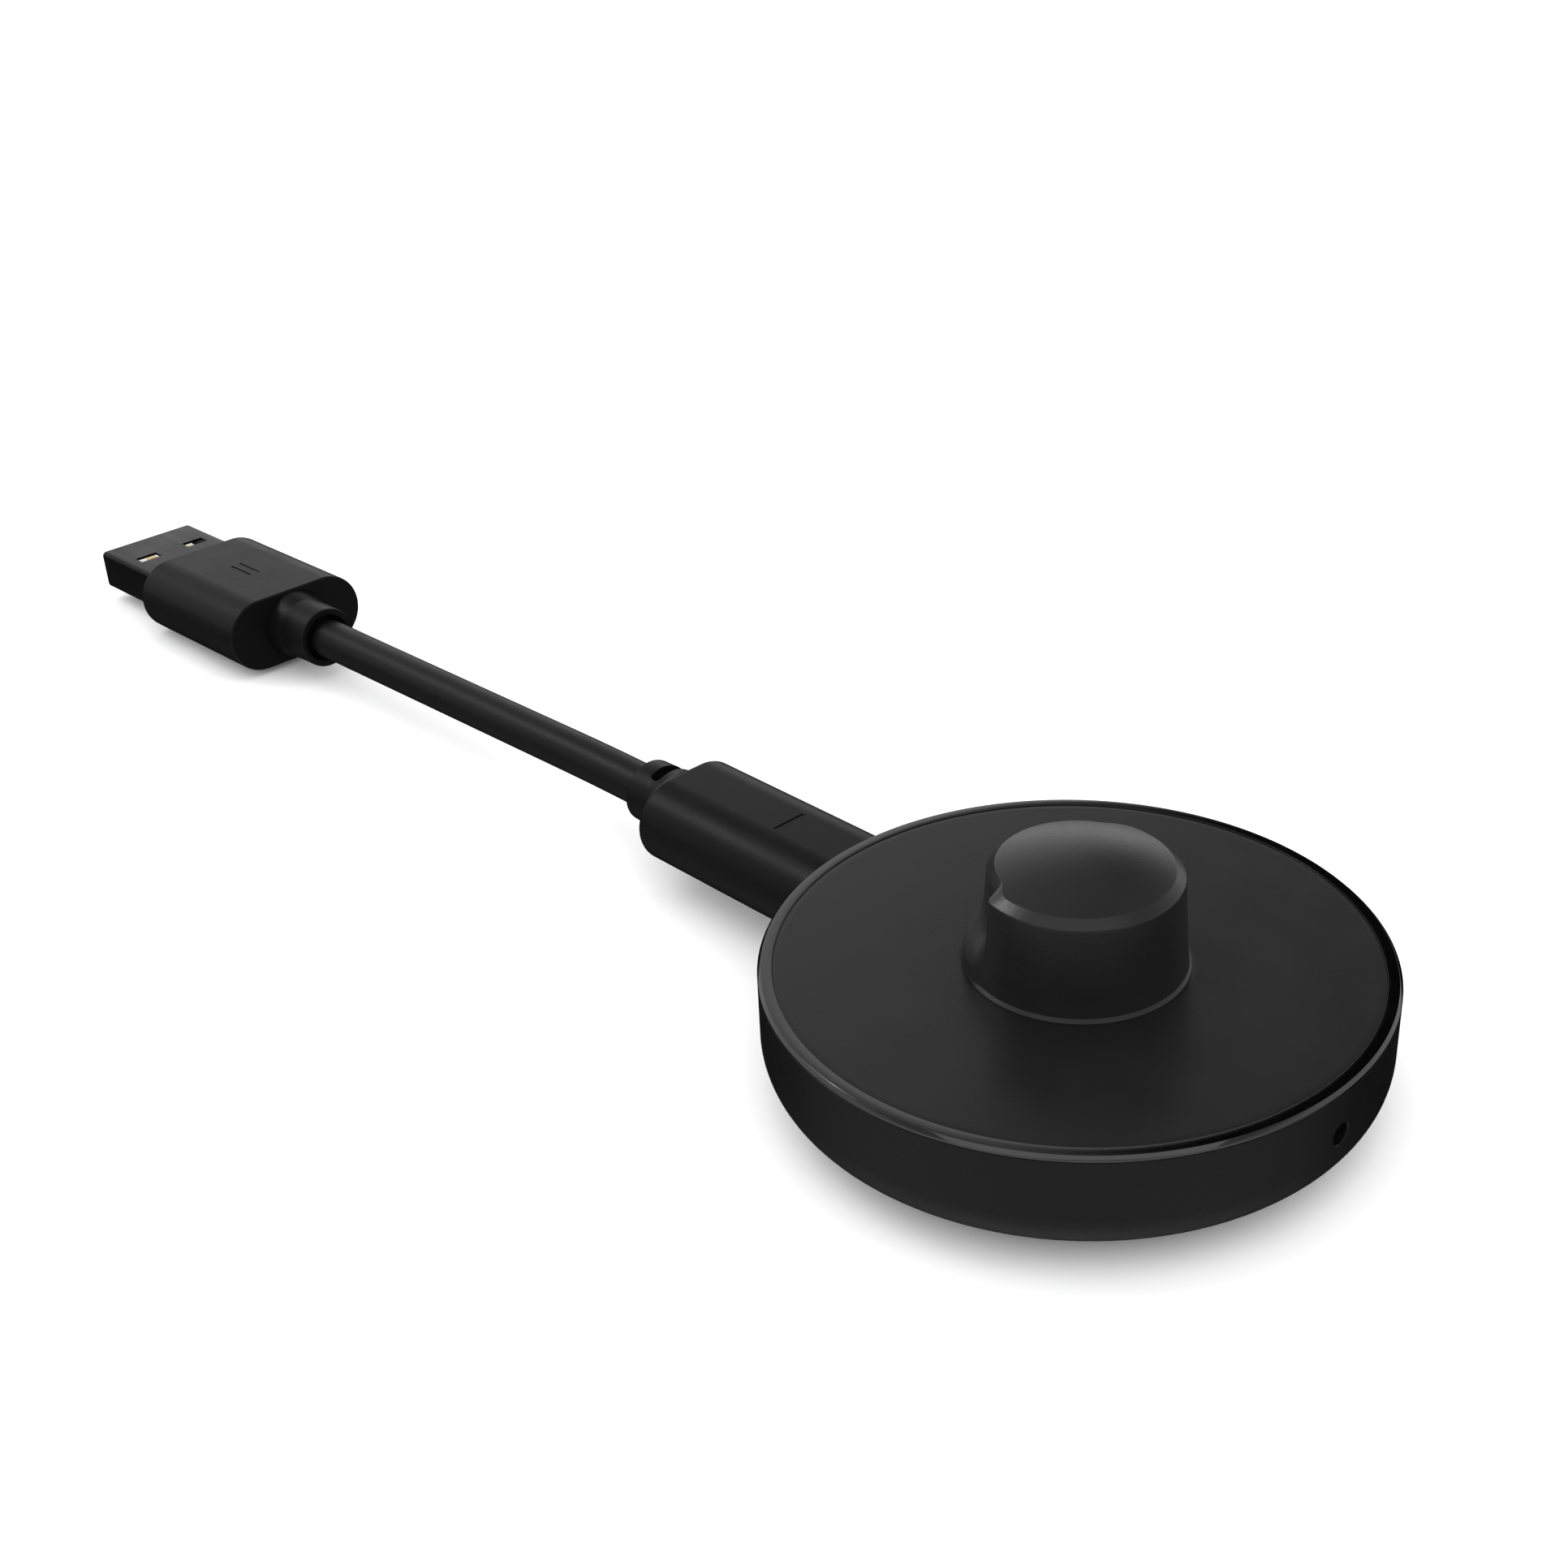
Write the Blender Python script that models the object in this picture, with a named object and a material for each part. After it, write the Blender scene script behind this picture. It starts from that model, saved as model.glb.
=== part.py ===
"""Round charging dock with a keyed centre post, and its short USB lead.

Frame: metres, +Z up, the dock stands on Z = 0 with the post on the Z axis.
The lead leaves the dock towards +Y. Lengths below are millimetres and are
turned into metres where the meshes are made.
"""
import math

import bmesh
import bpy
from mathutils import Matrix, Vector

MM = 0.001
GAP = 0.3                  # clearance kept between neighbouring pieces

# dock
DOCK_RADIUS = 26.0
DOCK_HEIGHT = 11.5         # floor to the top of the trim ring
FOOT_PROUD = 0.5           # the rubber foot stands out of the base
FOOT_RADIUS = 19.5
FLOOR_TOP = 2.0
CAVITY_RADIUS = 22.3
BEVEL_START = 5.68        # height where the side turns under
BEVEL_ROUND = 4.0         # radius of that turn
BEVEL_ANGLE = 49.6        # degrees from vertical
RING_INNER = 24.8
RING_CHAMFER = 0.27
RING_THICK = 0.45
PLATE_RECESS = 0.25        # plate top below the ring top
PLATE_THICK = 0.8
PLATE_DISH = 0.19              # rise of the plate from the post to its rim
SEGMENTS = 72

# centre post, heights above the plate
POST_EDGE = 8.77               # where the chamfer meets the domed top
POST_WALL_TOP = 8.12
POST_TOP_RADIUS = 7.7
POST_SHOULDER_RADIUS = 8.5
POST_FOOT_RADIUS = 9.25
POST_CAVITY_RADIUS = 6.0
POST_CROWN = 1.3               # rise of the domed top at its middle
POST_FLANGE_RADIUS = 11.2
RECESS_CENTRE = 90.0             # degrees from +X: the recess faces the lead
RECESS_EDGES = (62.0, 75.0)      # half angles between which the recess rises to the wall
RECESS_TOP_EDGES = (64.0, 83.0)  # the same at the top's edge
RECESS_DEPTH = 0.94
SCALLOP_DEPTH = 0.3              # extra depth of the wall towards both ends of the recess
SCALLOP_ANGLES = (25.0, 52.0)
RECESS_RUNOUT = (1.2, 5.0)       # heights between which its floor runs out to the foot

# indicator hole opposite the lead
HOLE_RADIUS = 0.95
HOLE_HEIGHT = DOCK_HEIGHT - 4.35

# electronics
BOARD_RADIUS = 21.0
BOARD_BOTTOM = 3.34
BOARD_THICK = 1.0
BOARD_TOP = BOARD_BOTTOM + BOARD_THICK
SCREW_ANGLES = (90.0 + 120.0, 90.0 - 120.0, 90.0 + 60.0)
SCREW_CIRCLE = 17.5

# lead
LEAD_HEIGHT = DOCK_HEIGHT - 4.86   # axis of the socket and its plug
PLUG_SEAT = 24.8                   # Y of the plug body's face when plugged in
PLUG_BODY = (12.3, 8.3)
PLUG_BODY_END = 48.6
PLUG_RELIEF_END = 53.8
PLUG_RELIEF_RADIUS = 3.1
C_SHELL = (8.2, 2.4)
C_SHELL_REACH = 6.7                # how far the plug's shell goes into the socket
CABLE_DIAMETER = 4.3
A_RELIEF_START = 109.4
A_RELIEF_RADIUS = 3.35
A_BODY_START = 115.8
A_BODY_END = 135.8
A_BODY = (16.8, 8.3)
A_SHELL = (12.0, 4.5)
A_SHELL_WALL = 0.4
A_SHELL_TIP = 148.5
A_WINDOW = (2.6, 1.5)
A_WINDOW_X = 3.1
A_WINDOW_Y = 142.5
TILT = 1.8815                      # degrees: the lead falls until the far plug's front edge meets the floor
TILT_Y = 60.0                      # Y of the middle of the cable's bend
RELIEF_SLOT = (50.3, 51.6)         # Y of the slot in the dock-side strain relief

# the cord's route: Y and Z of its axis, X is 0 throughout
CORD_ROUTE = (
    (54.1, 6.640), (57.0, 6.628), (60.0, 6.591), (63.0, 6.529), (66.0, 6.443), (69.0, 6.344),
    (72.5, 6.229), (76.5, 6.098), (80.5, 5.967), (84.5, 5.835), (88.5, 5.704), (92.5, 5.572),
    (96.5, 5.441), (100.5, 5.310), (104.5, 5.178), (109.07, 5.028),
)
CORD_POINTS = 14


def clear_scene():
    for obj in list(bpy.data.objects):
        bpy.data.objects.remove(obj, do_unlink=True)


def material(name, colour, roughness, metallic=0.0):
    mat = bpy.data.materials.new(name)
    mat.use_nodes = True
    shader = mat.node_tree.nodes["Principled BSDF"]
    shader.inputs["Base Color"].default_value = (*colour, 1.0)
    shader.inputs["Roughness"].default_value = roughness
    shader.inputs["Metallic"].default_value = metallic
    mat.diffuse_color = (*colour, 1.0)
    return mat


def add_object(name, bm, mat, parent=None):
    """Turn a bmesh in millimetres into an object of its own."""
    bmesh.ops.remove_doubles(bm, verts=bm.verts, dist=1e-5)
    bmesh.ops.recalc_face_normals(bm, faces=bm.faces)
    bmesh.ops.scale(bm, vec=Vector((MM, MM, MM)), verts=bm.verts)
    mesh = bpy.data.meshes.new(name)
    bm.to_mesh(mesh)
    bm.free()
    mesh.shade_smooth()
    mesh.set_sharp_from_angle(angle=math.radians(35))
    obj = bpy.data.objects.new(name, mesh)
    bpy.context.scene.collection.objects.link(obj)
    obj.data.materials.append(mat)
    obj.parent = parent
    return obj


def cut(target, name, bm, operation="DIFFERENCE"):
    """Cut a bmesh (same local frame as the target) out of an object, or join it on."""
    cutter = add_object(name, bm, target.data.materials[0], target.parent)
    cutter.location = target.location
    cutter.hide_render = True
    cutter.display_type = "WIRE"
    boolean = target.modifiers.new(name, "BOOLEAN")
    boolean.operation = operation
    boolean.solver = "EXACT"
    boolean.object = cutter


def revolve(profile, segments, centre=(0.0, 0.0), along_y=False):
    """Turn a closed profile of (radius, height) about Z, or about Y."""
    bm = bmesh.new()
    loops = []
    for radius, height in profile:
        loop = []
        for i in range(segments if radius > 1e-6 else 1):
            angle = 2 * math.pi * i / segments
            x, y = radius * math.cos(angle), radius * math.sin(angle)
            place = (x, height, y) if along_y else (x + centre[0], y + centre[1], height)
            loop.append(bm.verts.new(place))
        loops.append(loop)
    closed = all(len(loop) > 1 for loop in loops)
    pairs = list(zip(loops, loops[1:] + loops[:1])) if closed else list(zip(loops, loops[1:]))
    for low, high in pairs:
        for i in range(segments):
            j = (i + 1) % segments
            corners = [low[i % len(low)], low[j % len(low)], high[j % len(high)], high[i % len(high)]]
            bm.faces.new(list(dict.fromkeys(corners)))
    return bm


def turned(bottom, top, radius, segments=24, centre=(0.0, 0.0), bore=None, along_y=False):
    """A plain cylinder between two heights, with an optional through bore."""
    if bore is None:
        profile = [(0.0, bottom), (radius, bottom), (radius, top), (0.0, top)]
    else:
        profile = [(bore, bottom), (radius, bottom), (radius, top), (bore, top)]
    return revolve(profile, segments, centre, along_y)


def rounded_outline(width, height, radius, steps=6):
    """Rounded rectangle in X and Z about the origin."""
    points = []
    corners = ((1, 1, 0), (-1, 1, 90), (-1, -1, 180), (1, -1, 270))
    for sx, sz, start in corners:
        for k in range(steps + 1):
            angle = math.radians(start + 90 * k / steps)
            points.append((sx * (width / 2 - radius) + radius * math.cos(angle),
                           sz * (height / 2 - radius) + radius * math.sin(angle)))
    return points


def prism(width, height, radius, y_start, y_end, steps=6, edge=0.0, x=0.0, z=0.0):
    """Rounded bar along Y; edge chamfers both ends."""
    bm = bmesh.new()
    rings = [(y_start, edge), (y_start + edge, 0.0), (y_end - edge, 0.0), (y_end, edge)]
    if edge == 0.0:
        rings = [(y_start, 0.0), (y_end, 0.0)]
    loops = []
    for y, inset in rings:
        corner = max(radius - inset, 0.02)
        outline = rounded_outline(width - 2 * inset, height - 2 * inset, corner, steps)
        loops.append([bm.verts.new((px + x, y, pz + z)) for px, pz in outline])
    for low, high in zip(loops, loops[1:]):
        for i in range(len(low)):
            j = (i + 1) % len(low)
            bm.faces.new((low[i], low[j], high[j], high[i]))
    bm.faces.new(loops[0])
    bm.faces.new(loops[-1])
    return bm


def block(size, centre):
    bm = bmesh.new()
    bmesh.ops.create_cube(bm, size=1.0)
    bmesh.ops.scale(bm, vec=Vector(size), verts=bm.verts)
    bmesh.ops.translate(bm, vec=Vector(centre), verts=bm.verts)
    return bm


def bevel_profile(steps=5):
    """Outer side from the vertical wall round to the base's flat underside."""
    centre = DOCK_RADIUS - BEVEL_ROUND
    points = []
    for k in range(steps + 1):
        angle = math.radians(BEVEL_ANGLE * k / steps)
        points.append((centre + BEVEL_ROUND * math.cos(angle), BEVEL_START - BEVEL_ROUND * math.sin(angle)))
    radius, height = points[-1]
    drop = height - FOOT_PROUD
    points.append((radius - drop * math.tan(math.radians(BEVEL_ANGLE)), FOOT_PROUD))
    return points


def place_on_circle(radius, degrees):
    angle = math.radians(degrees)
    return (radius * math.cos(angle), radius * math.sin(angle))


def make_base_shell(mat):
    rim = DOCK_HEIGHT - RING_THICK - GAP
    ledge = DOCK_HEIGHT - PLATE_RECESS - PLATE_THICK - GAP
    recess_radius = FOOT_RADIUS + GAP
    recess_top = FOOT_PROUD + 0.7
    profile = [(0.0, recess_top), (recess_radius, recess_top), (recess_radius, FOOT_PROUD)]
    profile += list(reversed(bevel_profile()))
    profile += [(DOCK_RADIUS, rim), (RING_INNER, rim), (RING_INNER, ledge), (CAVITY_RADIUS, ledge),
                (CAVITY_RADIUS, FLOOR_TOP), (0.0, FLOOR_TOP)]
    shell = add_object("base_shell", revolve(profile, SEGMENTS), mat)
    for i, degrees in enumerate(SCREW_ANGLES):
        centre = place_on_circle(SCREW_CIRCLE, degrees)
        boss = turned(FLOOR_TOP - 0.2, BOARD_BOTTOM - GAP, 2.4, 20, centre)
        cut(shell, f"boss_{i + 1}", boss, "UNION")
        cut(shell, f"boss_bore_{i + 1}", turned(1.6, 4.0, 1.1, 16, centre), "DIFFERENCE")
    hole = turned(-DOCK_RADIUS - 1, -CAVITY_RADIUS + 1, HOLE_RADIUS, 20, along_y=True)
    bmesh.ops.translate(hole, vec=Vector((0, 0, HOLE_HEIGHT)), verts=hole.verts)
    cut(shell, "indicator_hole", hole)
    pocket = prism(PLUG_BODY[0] + 2 * GAP, PLUG_BODY[1] + 2 * GAP, PLUG_BODY[1] / 2 + GAP,
                   PLUG_SEAT - GAP, DOCK_RADIUS + 1, z=LEAD_HEIGHT)
    cut(shell, "plug_pocket", pocket)
    opening = prism(9.8 + 2 * GAP, 4.0 + 2 * GAP, 2.3, CAVITY_RADIUS - 2, DOCK_RADIUS + 1, z=LEAD_HEIGHT)
    cut(shell, "socket_opening", opening)


def make_trim_ring(mat):
    top = DOCK_HEIGHT
    profile = [(RING_INNER, top - RING_THICK), (DOCK_RADIUS, top - RING_THICK),
               (DOCK_RADIUS, top - RING_CHAMFER), (DOCK_RADIUS - RING_CHAMFER, top), (RING_INNER, top)]
    add_object("trim_ring", revolve(profile, SEGMENTS), mat)


def make_top_plate(mat):
    top = DOCK_HEIGHT - PLATE_RECESS
    rim = top + PLATE_DISH
    profile = [(POST_FOOT_RADIUS + GAP, top - PLATE_THICK), (RING_INNER - GAP, top - PLATE_THICK),
               (RING_INNER - GAP, rim - 0.1), (RING_INNER - GAP - 0.1, rim), (POST_FOOT_RADIUS + GAP, top)]
    add_object("top_plate", revolve(profile, SEGMENTS), mat)


def smoothstep(low, high, value):
    t = min(max((value - low) / (high - low), 0.0), 1.0)
    return t * t * (3 - 2 * t)


def recess_offset(degrees):
    return abs((degrees - RECESS_CENTRE + 180) % 360 - 180)


def top_radius(degrees):
    share = 1 - smoothstep(*RECESS_TOP_EDGES, recess_offset(degrees))
    return POST_TOP_RADIUS - share * RECESS_DEPTH


def top_height(radius):
    """Height of the domed top, which the recess cuts into."""
    return POST_EDGE + POST_CROWN * (1 - (radius / POST_TOP_RADIUS) ** 2)


def post_radius(height, degrees):
    """Radius of the post: a tapered wall with a flared foot, and a recess whose floor runs out to the foot."""
    wall = POST_SHOULDER_RADIUS + 0.065 * (POST_WALL_TOP - height)
    if height < 1.6:
        wall += (POST_FOOT_RADIUS - wall) * (1 - height / 1.6) ** 2
    offset = recess_offset(degrees)
    share = 1 - smoothstep(*RECESS_EDGES, offset)
    depth = RECESS_DEPTH + SCALLOP_DEPTH * smoothstep(*SCALLOP_ANGLES, offset)
    deep = smoothstep(*RECESS_RUNOUT, height)
    floor = POST_FOOT_RADIUS + (wall - depth - POST_FOOT_RADIUS) * deep
    return wall + share * (floor - wall)


def make_charging_post(mat):
    base = DOCK_HEIGHT - PLATE_RECESS
    flange_top = base - PLATE_THICK - GAP
    flange_bottom = flange_top - 1.0
    inner_top = base + POST_EDGE - 1.3
    angles = [360.0 * i / SEGMENTS for i in range(SEGMENTS)]

    def ring(radii, heights):
        return [bm.verts.new((*place_on_circle(r, a), h)) for r, a, h in zip(radii, angles, heights)]

    bm = bmesh.new()
    loops = []
    for radius, height in ((POST_CAVITY_RADIUS, inner_top), (POST_CAVITY_RADIUS, flange_bottom),
                           (POST_FLANGE_RADIUS, flange_bottom), (POST_FLANGE_RADIUS, flange_top),
                           (POST_FOOT_RADIUS - 0.1, flange_top)):
        loops.append(ring([radius] * SEGMENTS, [height] * SEGMENTS))
    for height in (0.0, 0.35, 0.8, 1.2, 1.6, 2.2, 2.8, 3.4, 4.1, 5.0, POST_WALL_TOP):
        loops.append(ring([post_radius(height, a) for a in angles], [base + height] * SEGMENTS))
    edges = [top_radius(a) for a in angles]
    for share in (1.0, 0.9, 0.75, 0.55, 0.3):
        radii = [edge * share for edge in edges]
        loops.append(ring(radii, [base + top_height(r) for r in radii]))
    crown = bm.verts.new((0, 0, base + POST_EDGE + POST_CROWN))
    roof = bm.verts.new((0, 0, inner_top))
    for low, high in zip(loops, loops[1:]):
        for i in range(SEGMENTS):
            j = (i + 1) % SEGMENTS
            bm.faces.new((low[i], low[j], high[j], high[i]))
    for i in range(SEGMENTS):
        j = (i + 1) % SEGMENTS
        bm.faces.new((loops[-1][i], loops[-1][j], crown))
        bm.faces.new((loops[0][j], loops[0][i], roof))
    add_object("charging_post", bm, mat)


def make_rubber_foot(mat):
    profile = [(0.0, 0.0), (FOOT_RADIUS - 0.3, 0.0), (FOOT_RADIUS, 0.3), (FOOT_RADIUS, 0.9), (0.0, 0.9)]
    add_object("rubber_foot", revolve(profile, 48), mat)


def make_coil_parts(plastic, ferrite, copper):
    """Bobbin on the board, ferrite rod down its middle, winding round it."""
    flange_low, flange_high, top = 8.3, 9.1, 18.2
    profile = [(3.2, flange_low), (4.6, flange_low), (4.6, BOARD_TOP + GAP), (5.6, BOARD_TOP + GAP),
               (5.6, flange_high), (3.3, flange_high), (3.3, top - 0.8), (5.5, top - 0.8),
               (5.5, top), (2.6, top), (2.6, flange_low)]
    add_object("coil_bobbin", revolve(profile, 32), plastic)
    add_object("ferrite_core", turned(6.2, top - 0.2, 2.3, 24), ferrite)
    add_object("charging_coil", turned(flange_high + GAP, top - 0.8 - GAP, 5.3, 40, bore=3.6), copper)


def make_board(mats):
    board = add_object("circuit_board", turned(BOARD_BOTTOM, BOARD_TOP, BOARD_RADIUS, 48), mats["board"])
    for i, degrees in enumerate(SCREW_ANGLES):
        centre = place_on_circle(SCREW_CIRCLE, degrees)
        cut(board, f"board_hole_{i + 1}", turned(BOARD_BOTTOM - 1, BOARD_TOP + 1, 1.3, 16, centre))
        make_screw(f"board_screw_{i + 1}", centre, mats["steel"])
    seat = BOARD_TOP + GAP
    chips = (
        ("charge_controller", (5.0, 5.0, 0.9), (-12.0, -3.0), "chip"),
        ("power_inductor", (4.4, 4.4, 2.2), (12.0, -3.0), "ferrite"),
        ("input_capacitor", (2.0, 1.3, 1.3), (8.5, 12.5), "ceramic"),
        ("output_capacitor", (2.0, 1.3, 1.3), (12.0, 3.0), "ceramic"),
        ("indicator_led", (1.6, 1.2, 0.7), (0.0, -18.6), "lens"),
    )
    for name, size, (x, y), slot in chips:
        bm = block(size, (x, y, seat + size[2] / 2))
        bmesh.ops.bevel(bm, geom=bm.edges[:], offset=0.12, segments=1, affect="EDGES")
        add_object(name, bm, mats[slot])


def make_screw(name, centre, mat):
    seat = BOARD_TOP + GAP
    profile = [(0.0, 1.9), (0.8, 1.9), (0.8, seat), (1.9, seat), (1.9, seat + 0.8), (1.6, seat + 1.1),
               (0.8, seat + 1.1), (0.8, seat + 0.5), (0.0, seat + 0.5)]
    add_object(name, revolve(profile, 20, centre), mat)


def make_light_pipe(mat):
    """Elbow from over the LED out into the indicator hole."""
    low = BOARD_TOP + GAP + 0.7 + GAP
    pipe = add_object("light_pipe", block((1.8, 1.8, HOLE_HEIGHT + 0.9 - low),
                                          (0, -18.8, (HOLE_HEIGHT + 0.9 + low) / 2)), mat)
    arm = turned(-DOCK_RADIUS + 1.1, -18.8, HOLE_RADIUS - GAP, 16, along_y=True)
    bmesh.ops.translate(arm, vec=Vector((0, 0, HOLE_HEIGHT)), verts=arm.verts)
    cut(pipe, "pipe_arm", arm, "UNION")


def make_socket(shell_mat, tongue_mat):
    """USB-C receptacle on the board: an open-ended steel shell round a contact tongue."""
    back, front = 15.6, PLUG_SEAT - 2 * GAP
    shell = add_object("socket_shell", prism(9.8, 4.0, 1.9, back, front, z=LEAD_HEIGHT), shell_mat)
    cut(shell, "socket_cavity", prism(8.8, 3.0, 1.4, back + 0.7, front + 1, z=LEAD_HEIGHT))
    add_object("socket_tongue", prism(6.0, 0.6, 0.25, back + 0.7 + GAP, front - 1.6, 3, 0.1, z=LEAD_HEIGHT),
               tongue_mat)


def make_near_plug(lead, mats):
    """Dock end of the lead, in the lead's own frame: plug shell, insert, body, strain relief."""
    def along(y):
        return y - PLUG_SEAT
    body = add_object("plug_body", prism(*PLUG_BODY, PLUG_BODY[1] / 2 - 0.01, along(PLUG_SEAT),
                                         along(PLUG_BODY_END), 7, 0.5), mats["overmould"], lead)
    cut(body, "plug_body_pocket", prism(C_SHELL[0] + 2 * GAP, C_SHELL[1] + 2 * GAP, 1.4, -1, 3.0))
    shell = add_object("plug_shell", prism(*C_SHELL, 1.15, -C_SHELL_REACH, 3.0 - GAP), mats["steel"], lead)
    cut(shell, "plug_shell_cavity", prism(C_SHELL[0] - 0.6, C_SHELL[1] - 0.6, 0.85, -8, 4))
    insert = prism(C_SHELL[0] - 1.2, C_SHELL[1] - 1.2, 0.5, -0.4, 3.0 - GAP, 3)
    add_object("plug_insert", insert, mats["insulator"], lead)
    start, end = along(PLUG_BODY_END) + GAP, along(PLUG_RELIEF_END)
    profile = [(0.0, start), (3.7, start), (3.35, start + 1.0), (PLUG_RELIEF_RADIUS, end - 0.3),
               (PLUG_RELIEF_RADIUS - 0.3, end), (0.0, end)]
    relief = add_object("plug_strain_relief", revolve(profile, 28, along_y=True), mats["overmould"], lead)
    low, high = (along(y) for y in RELIEF_SLOT)
    cut(relief, "relief_slot", slot_sector(-35, 125, low, high, PLUG_RELIEF_RADIUS - 0.85, 4.5))


def slot_sector(first, last, y_low, y_high, inner, outer, steps=12):
    """Part of a ring about Y between two angles, in degrees from +X towards +Z."""
    bm = bmesh.new()
    corners = ((inner, y_low), (outer, y_low), (outer, y_high), (inner, y_high))
    sections = []
    for k in range(steps + 1):
        angle = math.radians(first + (last - first) * k / steps)
        sections.append([bm.verts.new((r * math.cos(angle), y, r * math.sin(angle))) for r, y in corners])
    for low, high in zip(sections, sections[1:]):
        for i in range(4):
            j = (i + 1) % 4
            bm.faces.new((low[i], low[j], high[j], high[i]))
    bm.faces.new(sections[0])
    bm.faces.new(sections[-1])
    return bm


def smooth_route(points, count):
    """Evenly spread points on a Catmull-Rom curve through the route's own points."""
    last = len(points) - 1
    result = []
    for k in range(count):
        place = last * k / (count - 1)
        i = min(int(place), last - 1)
        t = place - i
        a, b = points[max(i - 1, 0)], points[i]
        c, d = points[i + 1], points[min(i + 2, last)]
        result.append(0.5 * (2 * b + (c - a) * t + (2 * a - 5 * b + 4 * c - d) * t ** 2
                             + (3 * b - a - 3 * c + d) * t ** 3))
    return result


def make_cord(lead, mat):
    route = [Vector((0.0, y - PLUG_SEAT, z - LEAD_HEIGHT)) for y, z in CORD_ROUTE]
    curve = bpy.data.curves.new("lead_cable", "CURVE")
    curve.dimensions = "3D"
    curve.bevel_depth = CABLE_DIAMETER / 2 * MM
    curve.bevel_resolution = 2
    curve.render_resolution_u = 0
    curve.use_fill_caps = True
    points = smooth_route(route, CORD_POINTS)
    spline = curve.splines.new("POLY")
    spline.points.add(len(points) - 1)
    for point, place in zip(spline.points, points):
        point.co = (*(place * MM), 1.0)
    obj = bpy.data.objects.new("lead_cable", curve)
    bpy.context.scene.collection.objects.link(obj)
    curve.materials.append(mat)
    obj.parent = lead


def tilted(bm):
    """Turn a mesh of the far plug about the middle of the cable's bend, in the lead's own frame."""
    turn = Matrix.Rotation(math.radians(-TILT), 3, "X")
    bmesh.ops.rotate(bm, cent=Vector((0.0, TILT_Y - PLUG_SEAT, 0.0)), matrix=turn, verts=bm.verts)
    return bm


def make_far_plug(lead, mats):
    """USB-A end of the lead, in the lead's own frame, built straight and then tilted."""
    def along(y):
        return y - PLUG_SEAT

    start, end = along(A_RELIEF_START), along(A_BODY_START) - GAP
    profile = [(0.0, start), (A_RELIEF_RADIUS - 0.3, start), (A_RELIEF_RADIUS, start + 0.3),
               (3.5, end - 1.5), (3.9, end), (0.0, end)]
    relief = tilted(revolve(profile, 28, along_y=True))
    add_object("usb_strain_relief", relief, mats["overmould"], lead)
    shape = prism(*A_BODY, A_BODY[1] / 2 - 0.01, along(A_BODY_START), along(A_BODY_END), 7, 0.5)
    body = add_object("usb_body", tilted(shape), mats["overmould"], lead)
    root = along(A_BODY_END) - 3.0
    pocket = prism(A_SHELL[0] + 2 * GAP, A_SHELL[1] + 2 * GAP, 0.5, root, along(A_BODY_END) + 1, 2)
    cut(body, "usb_body_pocket", tilted(pocket))
    tip = along(A_SHELL_TIP)
    shape = prism(*A_SHELL, 0.35, root + GAP, tip, 2)
    shell = add_object("usb_shell", tilted(shape), mats["black_steel"], lead)
    inner = (A_SHELL[0] - 2 * A_SHELL_WALL, A_SHELL[1] - 2 * A_SHELL_WALL)
    cut(shell, "usb_shell_cavity", tilted(prism(*inner, 0.15, root - 1, tip + 1, 2)))
    for i, x in enumerate((-A_WINDOW_X, A_WINDOW_X)):
        window = block((*A_WINDOW, 8.0), (x, along(A_WINDOW_Y), 0.0))
        cut(shell, f"usb_window_{i + 1}", tilted(window))
    tongue_top = 0.15
    tongue_low = GAP - inner[1] / 2
    tongue = prism(inner[0] - 2 * GAP, tongue_top - tongue_low, 0.1, root + GAP, tip - 0.4, 2,
                   z=(tongue_top + tongue_low) / 2)
    add_object("usb_tongue", tilted(tongue), mats["white_insulator"], lead)
    for i, x in enumerate((-3.5, -1.0, 1.0, 3.5)):
        reach = 0.9 if i in (0, 3) else 1.9
        length = tip - reach - root - 1
        contact = block((1.0, length, 0.25), (x, root + 1 + length / 2, tongue_top + GAP + 0.125))
        add_object(f"usb_contact_{i + 1}", tilted(contact), mats["gold"], lead)


def make_materials():
    return {
        "shell": material("matte_black", (0.012, 0.012, 0.013), 0.55),
        "ring": material("gloss_black", (0.02, 0.02, 0.021), 0.12),
        "plate": material("satin_black", (0.028, 0.028, 0.029), 0.42),
        "rubber": material("black_rubber", (0.015, 0.015, 0.015), 0.85),
        "overmould": material("soft_black", (0.014, 0.014, 0.014), 0.5),
        "cable": material("cable_black", (0.016, 0.016, 0.016), 0.48),
        "black_steel": material("black_steel", (0.03, 0.03, 0.031), 0.38, 0.6),
        "steel": material("steel", (0.55, 0.55, 0.56), 0.3, 1.0),
        "gold": material("gold", (0.8, 0.58, 0.22), 0.25, 1.0),
        "white_insulator": material("white_plastic", (0.86, 0.86, 0.85), 0.4),
        "insulator": material("insulator_black", (0.02, 0.02, 0.02), 0.5),
        "bobbin": material("bobbin_plastic", (0.55, 0.5, 0.4), 0.55),
        "ferrite": material("ferrite_grey", (0.06, 0.06, 0.065), 0.7),
        "copper": material("copper", (0.7, 0.3, 0.12), 0.3, 1.0),
        "board": material("board_green", (0.02, 0.12, 0.05), 0.45),
        "chip": material("chip_black", (0.02, 0.02, 0.022), 0.6),
        "ceramic": material("ceramic_tan", (0.5, 0.36, 0.2), 0.5),
        "lens": material("lens_clear", (0.75, 0.78, 0.75), 0.15),
    }


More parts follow.
